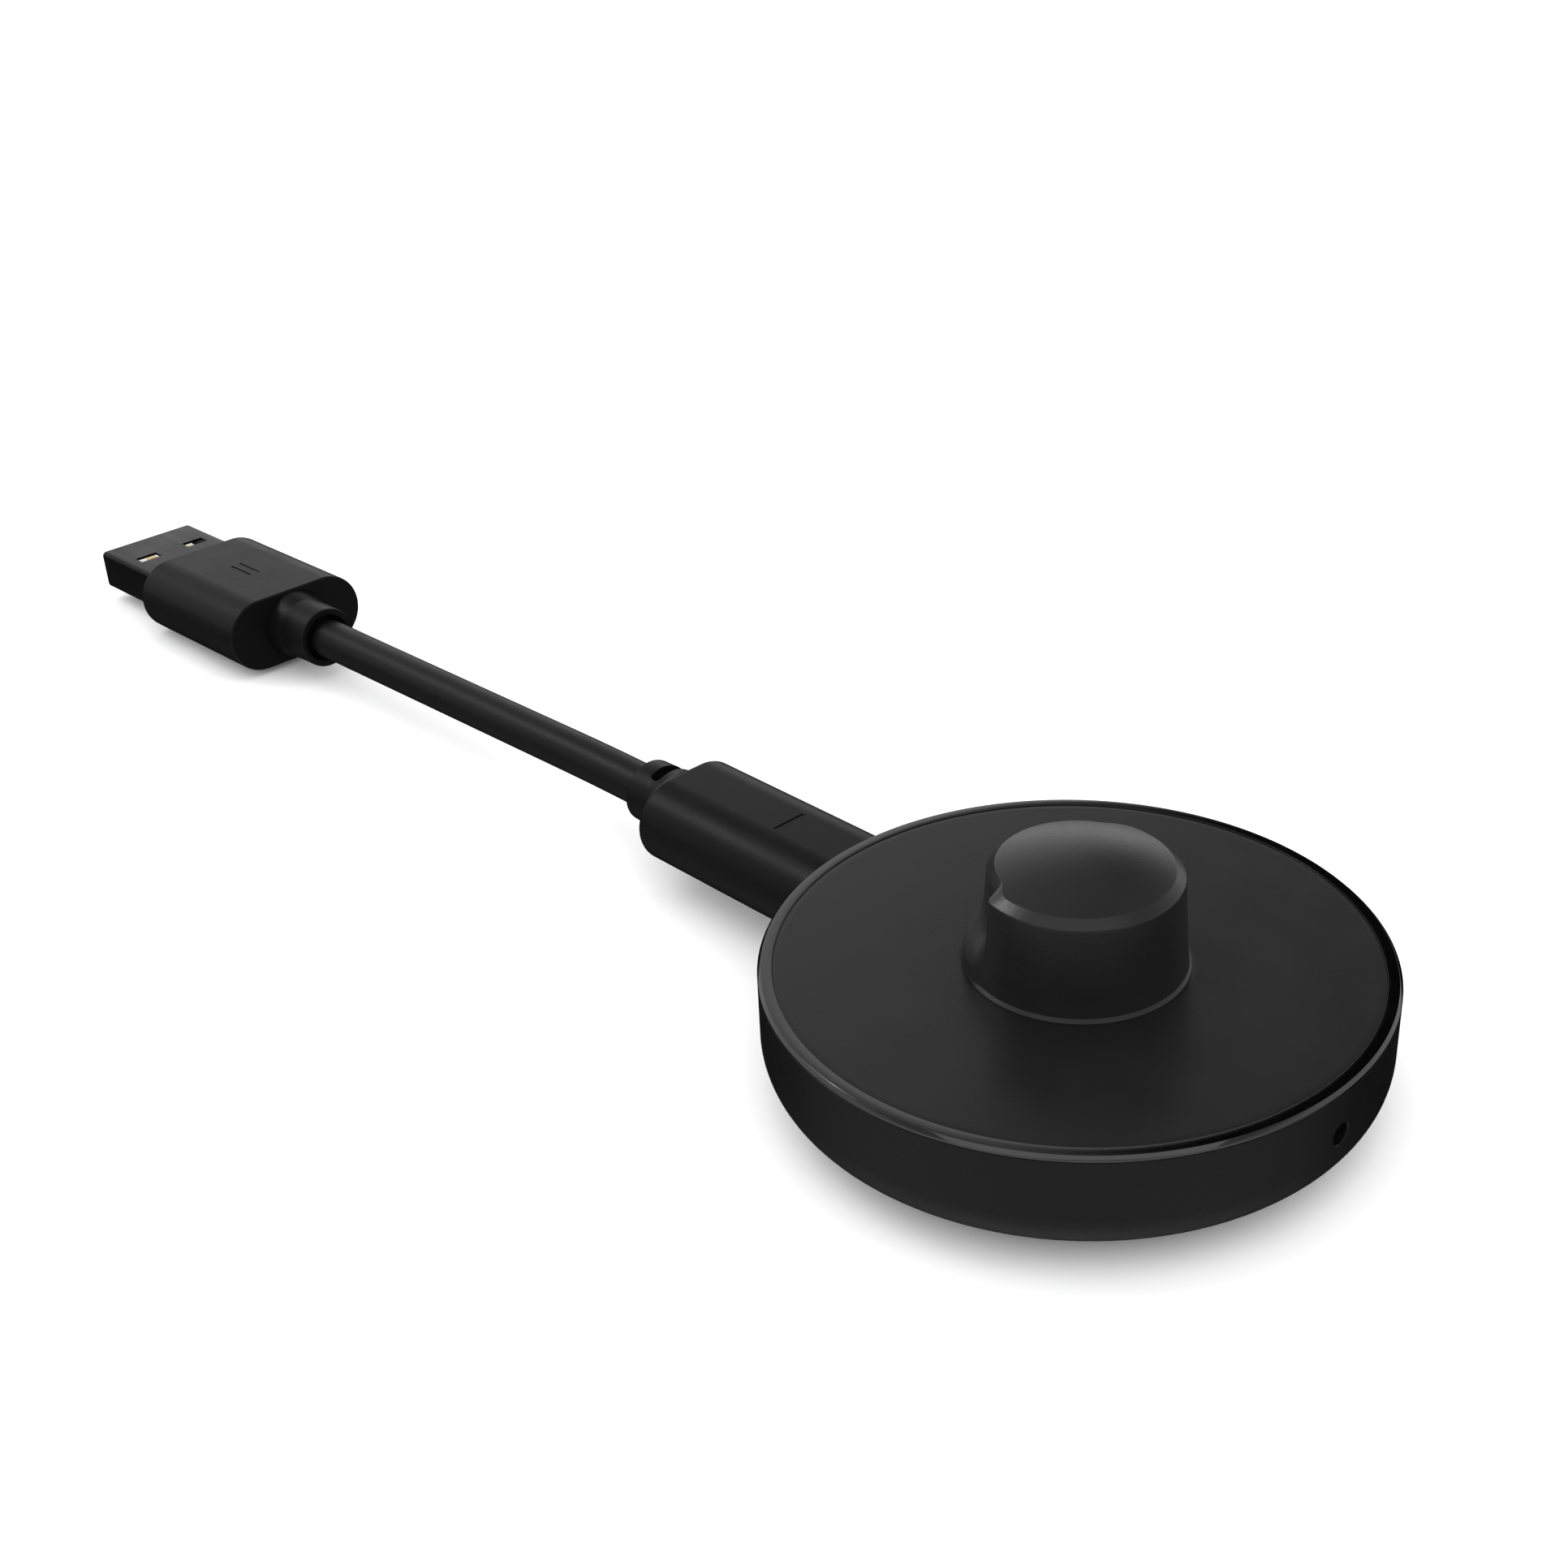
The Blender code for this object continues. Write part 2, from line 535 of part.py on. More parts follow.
def make_dock(mats):
    make_base_shell(mats["shell"])
    make_trim_ring(mats["ring"])
    make_top_plate(mats["plate"])
    make_charging_post(mats["shell"])
    make_rubber_foot(mats["rubber"])
    make_coil_parts(mats["bobbin"], mats["ferrite"], mats["copper"])
    make_board(mats)
    make_light_pipe(mats["lens"])
    make_socket(mats["steel"], mats["insulator"])


def make_lead(mats):
    lead = bpy.data.objects.new("lead", None)
    bpy.context.scene.collection.objects.link(lead)
    lead.location = Vector((0.0, PLUG_SEAT, LEAD_HEIGHT)) * MM
    make_near_plug(lead, mats)
    make_cord(lead, mats["cable"])
    make_far_plug(lead, mats)


def main():
    clear_scene()
    mats = make_materials()
    make_dock(mats)
    make_lead(mats)


main()
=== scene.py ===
"""Looks of the round charging dock and its short USB lead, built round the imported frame.

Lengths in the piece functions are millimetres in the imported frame: the dock's axis is Z,
it stands on Z = 0, and the lead leaves towards +Y.
"""
import math

import bmesh
import bpy
from mathutils import Matrix, Vector


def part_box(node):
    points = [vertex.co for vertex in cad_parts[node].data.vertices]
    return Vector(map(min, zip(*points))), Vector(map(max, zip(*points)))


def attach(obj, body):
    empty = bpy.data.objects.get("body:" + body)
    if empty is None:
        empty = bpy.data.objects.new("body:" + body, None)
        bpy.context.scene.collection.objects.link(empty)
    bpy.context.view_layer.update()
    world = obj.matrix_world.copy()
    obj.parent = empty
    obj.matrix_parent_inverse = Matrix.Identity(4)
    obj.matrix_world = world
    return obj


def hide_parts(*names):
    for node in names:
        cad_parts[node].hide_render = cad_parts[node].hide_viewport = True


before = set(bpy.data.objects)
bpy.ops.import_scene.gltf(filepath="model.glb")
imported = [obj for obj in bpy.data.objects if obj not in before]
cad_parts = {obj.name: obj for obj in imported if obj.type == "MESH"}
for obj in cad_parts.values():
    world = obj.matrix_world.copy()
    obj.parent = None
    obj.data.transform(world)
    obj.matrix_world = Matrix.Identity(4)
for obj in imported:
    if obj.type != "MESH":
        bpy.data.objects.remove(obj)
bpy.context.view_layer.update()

MM = 0.001


def box_mm(node):
    low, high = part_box(node)
    return low / MM, high / MM


RING_LOW, RING_HIGH = box_mm("trim_ring")
PLATE_HIGH = box_mm("top_plate")[1]
POST_HIGH = box_mm("charging_post")[1]
FOOT_HIGH = box_mm("rubber_foot")[1]
SHELL_LOW = box_mm("base_shell")[0]
PLUG_LOW, PLUG_HIGH = box_mm("plug_body")
RELIEF_LOW, RELIEF_HIGH = box_mm("plug_strain_relief")

SEAM = 0.06                     # visible joint line between neighbouring pieces
DOCK_RADIUS = RING_HIGH.x
RING_TOP = RING_HIGH.z
RING_INNER = 24.8
PLATE_THICK = 0.8
PLATE_DISH = 0.19               # rise of the plate from the post to its rim
PLATE_TOP = PLATE_HIGH.z - PLATE_DISH
LEAD_Z = (PLUG_LOW.z + PLUG_HIGH.z) / 2
TILT = math.radians(1.8815)     # fall of the lead beyond the cable's bend
TILT_PIVOT = Vector((0.0, 60.0, 6.64))

# the cord's route: Y and Z of its axis, X is 0 throughout
CORD_ROUTE = (
    (54.1, 6.640), (57.0, 6.628), (60.0, 6.591), (63.0, 6.529), (66.0, 6.443), (69.0, 6.344),
    (72.5, 6.229), (76.5, 6.098), (80.5, 5.967), (84.5, 5.835), (88.5, 5.704), (92.5, 5.572),
    (96.5, 5.441), (100.5, 5.310), (104.5, 5.178), (109.07, 5.028),
)
CABLE_DIAMETER = 4.3


# ---------------------------------------------------------------- camera, cord

def add_camera():
    azimuth, elevation, roll = (math.radians(v) for v in (-45.197, 29.482, -1.133))
    back = Vector((math.sin(azimuth) * math.cos(elevation), -math.cos(azimuth) * math.cos(elevation),
                   math.sin(elevation)))
    right = Vector((math.cos(azimuth), math.sin(azimuth), 0.0))
    up = back.cross(right)
    turned_right = right * math.cos(roll) + up * math.sin(roll)
    turned_up = up * math.cos(roll) - right * math.sin(roll)
    data = bpy.data.cameras.new("camera")
    data.sensor_width = 36.0
    data.lens = 51.985
    data.shift_x = -0.06612
    data.shift_y = 0.00737
    data.clip_start = 0.005
    data.clip_end = 20.0
    camera = bpy.data.objects.new("camera", data)
    turn = Matrix((turned_right, turned_up, back)).transposed().to_4x4()
    camera.matrix_world = Matrix.Translation((-0.119598, -0.097469, RING_TOP * MM + 0.102122)) @ turn
    bpy.context.scene.collection.objects.link(camera)
    bpy.context.scene.camera = camera


def smooth_route(points, count):
    """Evenly spread points on a Catmull-Rom curve through the route's own points."""
    last = len(points) - 1
    result = []
    for k in range(count):
        place = last * k / (count - 1)
        i = min(int(place), last - 1)
        t = place - i
        a, b = points[max(i - 1, 0)], points[i]
        c, d = points[i + 1], points[min(i + 2, last)]
        result.append(0.5 * (2 * b + (c - a) * t + (2 * a - 5 * b + 4 * c - d) * t ** 2
                             + (3 * b - a - 3 * c + d) * t ** 3))
    return result


def add_cord(mat):
    route = smooth_route([Vector((0.0, y, z)) for y, z in CORD_ROUTE], 40)
    curve = bpy.data.curves.new("cable_jacket", "CURVE")
    curve.dimensions = "3D"
    curve.bevel_depth = CABLE_DIAMETER / 2 * MM
    curve.bevel_resolution = 10
    curve.use_fill_caps = True
    spline = curve.splines.new("POLY")
    spline.points.add(len(route) - 1)
    for point, place in zip(spline.points, route):
        point.co = (*(place * MM), 1.0)
    spline.use_smooth = True
    curve.materials.append(mat)
    cord = bpy.data.objects.new("cable_jacket", curve)
    bpy.context.scene.collection.objects.link(cord)
    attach(cord, "lead")
    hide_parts("lead_cable")
    length = sum((b - a).length for a, b in zip(route, route[1:]))
    return cord, length


# ------------------------------------------------------------------- materials

def new_material(name):
    mat = bpy.data.materials.new(name)
    mat.use_nodes = True
    nodes, links = mat.node_tree.nodes, mat.node_tree.links
    shader = nodes["Principled BSDF"]
    coords = nodes.new("ShaderNodeTexCoord")
    return mat, nodes, links, shader, coords


def noise(nodes, links, coords, scale, detail=3.0, stretch=None):
    """Noise in object space, features of about 1 / scale metres, optionally stretched along an axis."""
    texture = nodes.new("ShaderNodeTexNoise")
    texture.inputs["Scale"].default_value = scale
    texture.inputs["Detail"].default_value = detail
    texture.inputs["Roughness"].default_value = 0.55
    if stretch is None:
        links.new(coords.outputs["Object"], texture.inputs["Vector"])
    else:
        mapping = nodes.new("ShaderNodeMapping")
        mapping.inputs["Scale"].default_value = stretch
        links.new(coords.outputs["Object"], mapping.inputs["Vector"])
        links.new(mapping.outputs["Vector"], texture.inputs["Vector"])
    return texture.outputs["Fac"]


def remap(nodes, links, value, low, high, start=0.3, end=0.7):
    node = nodes.new("ShaderNodeMapRange")
    node.inputs["From Min"].default_value = start
    node.inputs["From Max"].default_value = end
    node.inputs["To Min"].default_value = low
    node.inputs["To Max"].default_value = high
    links.new(value, node.inputs["Value"])
    return node.outputs["Result"]


def tint(nodes, links, value, dark, light):
    """Colour between two tones by a noise value."""
    ramp = nodes.new("ShaderNodeValToRGB")
    ramp.color_ramp.elements[0].position = 0.3
    ramp.color_ramp.elements[0].color = (*dark, 1.0)
    ramp.color_ramp.elements[1].position = 0.7
    ramp.color_ramp.elements[1].color = (*light, 1.0)
    links.new(value, ramp.inputs["Fac"])
    return ramp.outputs["Color"]


def bump(nodes, links, height, distance, normal=None):
    node = nodes.new("ShaderNodeBump")
    node.inputs["Distance"].default_value = distance
    node.inputs["Strength"].default_value = 1.0
    links.new(height, node.inputs["Height"])
    if normal is not None:
        links.new(normal, node.inputs["Normal"])
    return node.outputs["Normal"]


def moulded(name, colour, rough, grain, depth, spec, variation=0.12, swing=0.06, painted_glow=0.0):
    """Spark-textured moulding: fine grain in the bump, slow changes in tone and roughness."""
    mat, nodes, links, shader, coords = new_material(name)
    fine = noise(nodes, links, coords, grain, 2.0)
    slow = noise(nodes, links, coords, 160.0, 4.0)
    dark = tuple(c * (1 - variation) for c in colour)
    light = tuple(c * (1 + variation) for c in colour)
    links.new(tint(nodes, links, slow, dark, light), shader.inputs["Base Color"])
    mixed = nodes.new("ShaderNodeMath")
    mixed.operation = "MULTIPLY_ADD"
    mixed.inputs[1].default_value = 0.5
    links.new(fine, mixed.inputs[0])
    half = nodes.new("ShaderNodeMath")
    half.operation = "MULTIPLY"
    half.inputs[1].default_value = 0.5
    links.new(slow, half.inputs[0])
    links.new(half.outputs["Value"], mixed.inputs[2])
    links.new(remap(nodes, links, mixed.outputs["Value"], rough - swing, rough + swing),
              shader.inputs["Roughness"])
    links.new(bump(nodes, links, fine, depth * MM), shader.inputs["Normal"])
    shader.inputs["Specular IOR Level"].default_value = spec
    # Emission Strength is painted glow: the part lights itself though it is no lamp. It is zero except on the
    # USB tongue.
    shader.inputs["Emission Strength"].default_value = painted_glow
    return mat


def brushed(name, colour, rough, stretch, depth=0.003, swing=0.1):
    """Drawn or brushed metal: long fine lines across one axis."""
    mat, nodes, links, shader, coords = new_material(name)
    lines = noise(nodes, links, coords, 900.0, 5.0, stretch)
    slow = noise(nodes, links, coords, 220.0, 3.0)
    dark = tuple(c * 0.86 for c in colour)
    links.new(tint(nodes, links, slow, dark, colour), shader.inputs["Base Color"])
    links.new(remap(nodes, links, lines, rough - swing, rough + swing), shader.inputs["Roughness"])
    links.new(bump(nodes, links, lines, depth * MM), shader.inputs["Normal"])
    shader.inputs["Metallic"].default_value = 1.0
    return mat


def board_material():
    """Green solder mask over faint traces, with a fine orange-peel surface."""
    mat, nodes, links, shader, coords = new_material("solder_mask")
    mapping = nodes.new("ShaderNodeMapping")
    mapping.inputs["Rotation"].default_value = (0.0, 0.0, math.radians(45))
    links.new(coords.outputs["Object"], mapping.inputs["Vector"])
    traces = nodes.new("ShaderNodeTexBrick")
    traces.inputs["Scale"].default_value = 260.0
    traces.inputs["Mortar Size"].default_value = 0.03
    traces.inputs["Color1"].default_value = (0.012, 0.075, 0.032, 1)
    traces.inputs["Color2"].default_value = (0.014, 0.085, 0.036, 1)
    traces.inputs["Mortar"].default_value = (0.03, 0.16, 0.07, 1)
    links.new(mapping.outputs["Vector"], traces.inputs["Vector"])
    links.new(traces.outputs["Color"], shader.inputs["Base Color"])
    fine = noise(nodes, links, coords, 1800.0, 3.0)
    links.new(remap(nodes, links, fine, 0.28, 0.42), shader.inputs["Roughness"])
    first = bump(nodes, links, traces.outputs["Fac"], 0.01 * MM)
    links.new(bump(nodes, links, fine, 0.004 * MM, normal=first), shader.inputs["Normal"])
    return mat


def make_materials():
    along_y = (1.0, 0.05, 1.0)
    return {
        "housing": moulded("housing_black", (0.0024, 0.0024, 0.0025), 0.48, 3800.0, 0.007, 0.15),
        "bezel": moulded("bezel_gloss", (0.0008, 0.0008, 0.00085), 0.09, 2600.0, 0.0005, 0.7, 0.1, 0.03),
        "deck": moulded("deck_satin", (0.0075, 0.0075, 0.0077), 0.31, 3600.0, 0.005, 0.18, 0.08, 0.04),
        "post": moulded("post_black", (0.0065, 0.0065, 0.0067), 0.34, 3400.0, 0.008, 0.3, 0.1, 0.05),
        "rubber": moulded("foot_rubber", (0.012, 0.012, 0.012), 0.82, 2400.0, 0.02, 0.2, 0.2, 0.08),
        "cover": moulded("cover_black", (0.0028, 0.0028, 0.0029), 0.4, 3600.0, 0.005, 0.08, 0.1, 0.05),
        "cable": moulded("jacket_black", (0.0034, 0.0034, 0.0035), 0.42, 3200.0, 0.006, 0.1, 0.12, 0.06),
        "sleeve": brushed("sleeve_black", (0.0042, 0.0042, 0.0044), 0.42, along_y, 0.001, 0.03),
        "steel": brushed("drawn_steel", (0.6, 0.6, 0.61), 0.28, along_y),
        "screw": brushed("screw_steel", (0.5, 0.5, 0.51), 0.32, (1.0, 1.0, 0.1)),
        "gold": brushed("contact_gold", (0.85, 0.6, 0.25), 0.24, along_y, 0.002),
        # The white USB tongue carries painted glow (emission 0.35), which brightens it where it sits in shade
        # inside the shell's windows.
        "tongue": moulded("tongue_white_painted_glow", (0.84, 0.84, 0.83), 0.42, 2800.0, 0.005, 0.4, 0.02, painted_glow=0.35),
        "insulator": moulded("insulator_black", (0.018, 0.018, 0.018), 0.5, 2800.0, 0.008, 0.3),
        "bobbin": moulded("bobbin_nylon", (0.52, 0.47, 0.36), 0.5, 2400.0, 0.012, 0.35, 0.06),
        "ferrite": moulded("ferrite_grey", (0.055, 0.056, 0.06), 0.68, 5200.0, 0.02, 0.25, 0.3, 0.1),
        "copper": brushed("enamelled_copper", (0.72, 0.28, 0.1), 0.26, (0.1, 0.1, 1.0), 0.002),
        "board": board_material(),
        "chip": moulded("chip_epoxy", (0.017, 0.017, 0.018), 0.58, 4200.0, 0.01, 0.3, 0.2),
        "ceramic": moulded("ceramic_tan", (0.48, 0.34, 0.18), 0.45, 3200.0, 0.006, 0.4, 0.1),
        "lens": moulded("smoked_lens", (0.004, 0.004, 0.0043), 0.3, 1500.0, 0.001, 0.08, 0.2, 0.04),
        "led": moulded("led_epoxy", (0.7, 0.72, 0.66), 0.25, 1500.0, 0.002, 0.5, 0.05, 0.05),
    }


# ---------------------------------------------------------------- mesh helpers

SHARP_ANGLE = 32.0              # degrees between faces above which an edge is kept hard


def fillet(points, steps=5, closed=True):
    """Round the corners of a polyline of (a, b, radius); radius 0 keeps the corner."""
    result = []
    count = len(points)
    for i, (a, b, radius) in enumerate(points):
        corner = Vector((a, b))
        if radius <= 0 or (not closed and i in (0, count - 1)):
            result.append((a, b))
            continue
        before, after = Vector(points[i - 1][:2]) - corner, Vector(points[(i + 1) % count][:2]) - corner
        u, v = before.normalized(), after.normalized()
        half = u.angle(v) / 2
        if half > math.radians(88):
            result.append((a, b))
            continue
        reach = min(radius / math.tan(half), 0.48 * before.length, 0.48 * after.length)
        radius = reach * math.tan(half)
        centre = corner + (u + v).normalized() * (radius / math.sin(half))
        first, last = corner + u * reach - centre, corner + v * reach - centre
        sweep = first.angle_signed(last)
        for k in range(steps + 1):
            angle = -sweep * k / steps
            turn = Vector((first.x * math.cos(angle) - first.y * math.sin(angle),
                           first.x * math.sin(angle) + first.y * math.cos(angle)))
            result.append(tuple(centre + turn))
    return result


def skin(bm, loops, closed=False):
    """Quads between rings of vertices; a ring of one vertex closes as a fan."""
    made = [[bm.verts.new(p) for p in loop] for loop in loops]
    pairs = list(zip(made, made[1:])) + ([(made[-1], made[0])] if closed else [])
    for low, high in pairs:
        count = max(len(low), len(high))
        for i in range(count):
            j = (i + 1) % count
            corners = [low[i % len(low)], low[j % len(low)], high[j % len(high)], high[i % len(high)]]
            bm.faces.new(list(dict.fromkeys(corners)))
    return made


def revolve(profile, segments, centre=(0.0, 0.0), along_y=False, bm=None):
    """Turn a profile of (radius, height) about Z, or about Y through centre (x, z)."""
    bm = bm or bmesh.new()
    loops = []
    for radius, height in profile:
        loop = []
        for i in range(segments if radius > 1e-6 else 1):
            angle = 2 * math.pi * i / segments
            a, b = radius * math.cos(angle) + centre[0], radius * math.sin(angle) + centre[1]
            loop.append((a, height, b) if along_y else (a, b, height))
        loops.append(loop)
    skin(bm, loops, closed=all(len(loop) > 1 for loop in loops))
    return bm


def outline(width, height, radius, steps, z):
    """Rounded rectangle in X and Z, centred on X = 0."""
    points = []
    for sx, sz, start in ((1, 1, 0), (-1, 1, 90), (-1, -1, 180), (1, -1, 270)):
        for k in range(steps + 1):
            angle = math.radians(start + 90 * k / steps)
            points.append((sx * (width / 2 - radius) + radius * math.cos(angle),
                           z + sz * (height / 2 - radius) + radius * math.sin(angle)))
    return points


def end_sections(y_start, y_end, round_start, round_end, steps=6):
    """(Y, inset) along a bar whose two ends are rounded over."""
    sections = []
    for k in range(steps + 1):
        angle = math.pi / 2 * k / steps
        sections.append((y_start + round_start * (1 - math.sin(angle)), round_start * (1 - math.cos(angle))))
    sections.reverse()
    for k in range(steps + 1):
        angle = math.pi / 2 * k / steps
        sections.append((y_end - round_end * (1 - math.sin(angle)), round_end * (1 - math.cos(angle))))
    return sections


def bar(width, height, radius, sections, steps, z=LEAD_Z):
    """Rounded bar along Y through sections of (Y, inset), with flat ends."""
    bm = bmesh.new()
    loops = []
    for y, inset in sections:
        corner = max(radius - inset, 0.03)
        points = outline(width - 2 * inset, height - 2 * inset, corner, steps, z)
        loops.append([(px, y, pz) for px, pz in points])
    made = skin(bm, loops)
    bm.faces.new(made[0])
    bm.faces.new(made[-1])
    return bm


def to_object(name, bm, mat, sharp=SHARP_ANGLE):
    bmesh.ops.remove_doubles(bm, verts=bm.verts, dist=1e-5)
    bmesh.ops.recalc_face_normals(bm, faces=bm.faces)
    bmesh.ops.scale(bm, vec=Vector((MM, MM, MM)), verts=bm.verts)
    mesh = bpy.data.meshes.new(name)
    bm.to_mesh(mesh)
    bm.free()
    mesh.materials.append(mat)
    mesh.shade_smooth()
    mesh.set_sharp_from_angle(angle=math.radians(sharp))
    obj = bpy.data.objects.new(name, mesh)
    bpy.context.scene.collection.objects.link(obj)
    return obj


def carve(obj, cutters):
    """Cut bmeshes out of an object for good, then mark its edges again."""
    made = []
    for i, bm in enumerate(cutters):
        cutter = to_object(f"{obj.name}_cut_{i}", bm, obj.data.materials[0])
        modifier = obj.modifiers.new(cutter.name, "BOOLEAN")
        modifier.operation = "DIFFERENCE"
        modifier.solver = "EXACT"
        modifier.object = cutter
        made.append(cutter)
    graph = bpy.context.evaluated_depsgraph_get()
    mesh = bpy.data.meshes.new_from_object(obj.evaluated_get(graph))
    obj.modifiers.clear()
    obj.data = mesh
    mesh.name = obj.name
    for cutter in made:
        bpy.data.objects.remove(cutter, do_unlink=True)
    mesh.shade_smooth()
    mesh.set_sharp_from_angle(angle=math.radians(SHARP_ANGLE))


def soften(obj, width, segments=2):
    """Small rounded edges on a cut sheet-metal piece."""
    modifier = obj.modifiers.new("edges", "BEVEL")
    modifier.width = width * MM
    modifier.segments = segments
    modifier.limit_method = "ANGLE"
    modifier.angle_limit = math.radians(40)
    modifier.harden_normals = True


def weigh(obj):
    """Shade large faces flat and leave the bend to the small rounded edges."""
    modifier = obj.modifiers.new("weighted normals", "WEIGHTED_NORMAL")
    modifier.keep_sharp = True
    modifier.weight = 60


def declare(obj, body, node):
    """Ride the piece on a body, in place of a CAD node, which is hidden."""
    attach(obj, body)
    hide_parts(node)


def smoothstep(low, high, value):
    t = min(max((value - low) / (high - low), 0.0), 1.0)
    return t * t * (3 - 2 * t)


def spread(start, end, count):
    return [start + (end - start) * k / (count - 1) for k in range(count)]


# ------------------------------------------------------------------------ dock

BEVEL_START = 5.68              # height where the side begins to turn under
BEVEL_ROUND = 4.0
BEVEL_ANGLE = 49.6
SHELL_SEAT_RADIUS = 24.6        # step in the rim under the ring and the plate
SHELL_INNER_RADIUS = 22.3
SHELL_FLOOR = 2.0
SCREW_ANGLES = (210.0, -30.0, 150.0)
SCREW_CIRCLE = 17.5
BOSS_BORE = 1.1
BOSS_TOP = 3.04
HOLE_Z = RING_TOP - 4.35        # indicator hole, opposite the lead


def bevel_profile(steps=18):
    """Outer side, from where it turns under down to the flat underside."""
    centre = DOCK_RADIUS - BEVEL_ROUND
    points = []
    for k in range(steps + 1):
        angle = math.radians(BEVEL_ANGLE * k / steps)
        points.append((centre + BEVEL_ROUND * math.cos(angle),
                       BEVEL_START - BEVEL_ROUND * math.sin(angle), 0))
    radius, height = points[-1][:2]
    drop = height - SHELL_LOW.z
    points.append((radius - drop * math.tan(math.radians(BEVEL_ANGLE)), SHELL_LOW.z, 0.5))
    return points


def make_housing(mats):
    rim = RING_LOW.z - SEAM
    ledge = PLATE_TOP - PLATE_THICK - SEAM
    foot = FOOT_HIGH.x + SEAM
    recess = FOOT_HIGH.z + SEAM
    profile = [(0.0, recess, 0), (foot, recess, 0.1), (foot, SHELL_LOW.z, 0.08)]
    profile += list(reversed(bevel_profile()))
    profile += [(DOCK_RADIUS, 7.5, 0), (DOCK_RADIUS, rim, 0.06), (SHELL_SEAT_RADIUS, rim, 0.05),
                (SHELL_SEAT_RADIUS, ledge, 0.05), (SHELL_INNER_RADIUS, ledge, 0.1),
                (SHELL_INNER_RADIUS, SHELL_FLOOR, 0.4), (0.0, SHELL_FLOOR, 0)]
    housing = to_object("housing", revolve(fillet(profile), 256), mats["housing"])
    hole = [(0.0, -27.0), (1.25, -27.0), (1.05, -25.98), (0.95, -25.86), (0.95, -21.0), (0.0, -21.0)]
    outside = DOCK_RADIUS + 2
    height = PLUG_HIGH.z - PLUG_LOW.z
    pocket = bar(PLUG_HIGH.x * 2 + 0.16, height + 0.16, height / 2 + 0.07,
                 [(PLUG_LOW.y - 0.05, 0.0), (outside, 0.0)], 20)
    opening = bar(10.2, 4.4, 2.15, [(20.0, 0.0), (outside, 0.0)], 12)
    carve(housing, [revolve(hole, 48, (0.0, HOLE_Z), True), pocket, opening])
    bosses = bmesh.new()
    bosses.from_mesh(housing.data)
    bmesh.ops.scale(bosses, vec=Vector((1 / MM,) * 3), verts=bosses.verts)
    for degrees in SCREW_ANGLES:
        angle = math.radians(degrees)
        centre = (SCREW_CIRCLE * math.cos(angle), SCREW_CIRCLE * math.sin(angle))
        boss = [(BOSS_BORE, SHELL_FLOOR - 0.2, 0), (2.6, SHELL_FLOOR - 0.2, 0), (2.4, BOSS_TOP, 0.1),
                (BOSS_BORE, BOSS_TOP, 0.1)]
        revolve(fillet(boss, 3), 32, centre, bm=bosses)
    bmesh.ops.scale(bosses, vec=Vector((MM,) * 3), verts=bosses.verts)
    bosses.to_mesh(housing.data)
    bosses.free()
    housing.data.shade_smooth()
    housing.data.set_sharp_from_angle(angle=math.radians(SHARP_ANGLE))
    weigh(housing)
    declare(housing, "dock", "base_shell")


def make_bezel(mats):
    low, top = RING_LOW.z, RING_TOP
    chamfer = 0.27
    profile = [(RING_INNER, low, 0.03), (DOCK_RADIUS, low, 0.03), (DOCK_RADIUS, top - chamfer, 0.04),
               (DOCK_RADIUS - chamfer, top, 0.04), (RING_INNER, top, 0.015)]
    bezel = to_object("bezel_ring", revolve(fillet(profile, 4), 320), mats["bezel"])
    weigh(bezel)
    declare(bezel, "dock", "trim_ring")


def make_deck(mats):
    """Disc that rises slightly from the post to the ring."""
    top, low = PLATE_TOP, PLATE_TOP - PLATE_THICK
    inner, outer = 9.33, RING_INNER - 0.03
    rise = PLATE_DISH / (outer - inner)
    profile = [(inner, low, 0.05), (outer, low, 0.05), (outer, top + PLATE_DISH, 0.02)]
    profile += [(r, top + rise * (r - inner), 0) for r in spread(outer - 0.6, inner + 0.4, 24)]
    profile += [(inner, top, 0.01)]
    deck = to_object("deck_plate", revolve(fillet(profile, 4), 320), mats["deck"])
    weigh(deck)
    declare(deck, "dock", "top_plate")


# centre post, heights above the plate; recess angles are degrees away from its middle
POST_EDGE = 8.77                # where the chamfer meets the domed top
POST_WALL_TOP = 8.12
POST_TOP_RADIUS = 7.7
POST_SHOULDER = 8.5
POST_DRAFT = 0.065
POST_FOOT = 9.25
POST_LIP = POST_FOOT + 0.06
POST_CAVITY_RADIUS = 6.0
POST_FLANGE_RADIUS = 11.2
RECESS_EDGES = (62.0, 75.0)
RECESS_TOP_EDGES = (64.0, 83.0)
RECESS_DEPTH = 0.94
RECESS_RUNOUT = (1.2, 5.0)      # heights between which its floor runs out to the foot
SCALLOP_DEPTH = 0.3             # extra depth towards both ends of the recess
SCALLOP_ANGLES = (25.0, 52.0)
FLARE_HEIGHT = 2.0


def recess_offset(degrees):
    """Degrees away from the middle of the recess, which faces the lead."""
    return abs((degrees - 90.0 + 180) % 360 - 180)


def top_radius(degrees):
    return POST_TOP_RADIUS - RECESS_DEPTH * (1 - smoothstep(*RECESS_TOP_EDGES, recess_offset(degrees)))


def post_radius(height, degrees):
    """Tapered wall with a flared foot, and a recess whose floor runs out to the foot."""
    wall = POST_SHOULDER + POST_DRAFT * (POST_WALL_TOP - height)
    if height < FLARE_HEIGHT:
        wall += (POST_FOOT - 0.16 - wall) * (1 - height / FLARE_HEIGHT) ** 2.4
    offset = recess_offset(degrees)
    share = 1 - smoothstep(*RECESS_EDGES, offset)
    depth = RECESS_DEPTH + SCALLOP_DEPTH * smoothstep(*SCALLOP_ANGLES, offset)
    deep = smoothstep(*RECESS_RUNOUT, height)
    floor = POST_FOOT + (wall - depth - POST_FOOT) * deep
    return wall + share * (floor - wall)


